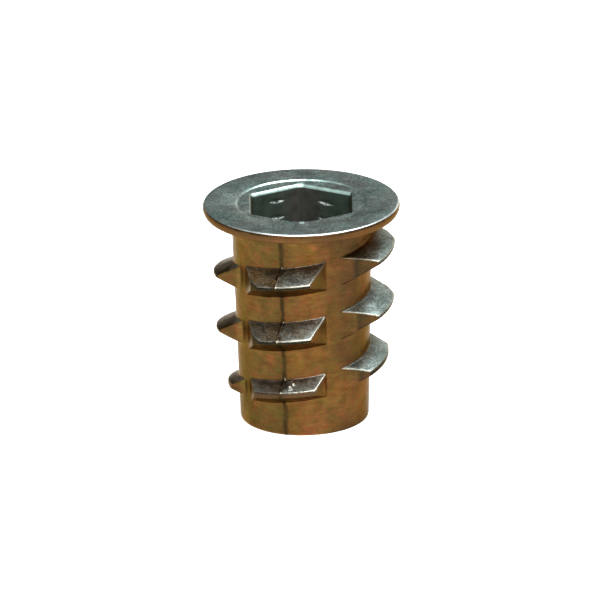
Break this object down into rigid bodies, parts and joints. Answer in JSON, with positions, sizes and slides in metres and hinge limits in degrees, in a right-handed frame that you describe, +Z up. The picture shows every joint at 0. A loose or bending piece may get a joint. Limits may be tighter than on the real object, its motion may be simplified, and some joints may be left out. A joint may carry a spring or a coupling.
{
  "type": "threaded insert",
  "caption": "Die-cast flanged threaded insert for wood, with a hexagon drive socket and a coarse outside thread broken into lobes.",
  "frame": {"origin": "middle of the tail end, on the surface that the insert stands on", "axes": "+Z up the insert's axis to the head's face; -Y towards the picture's camera, +X to its right"},
  "size_m": [0.016, 0.016, 0.0184],
  "materials": {
    "passivated_zinc": "as-cast zinc alloy with a yellow-brown passivated skin, grey on the faces that look up"
  },
  "bodies": {
    "root": {"threaded_insert": "passivated_zinc"}
  },
  "joints": []
}
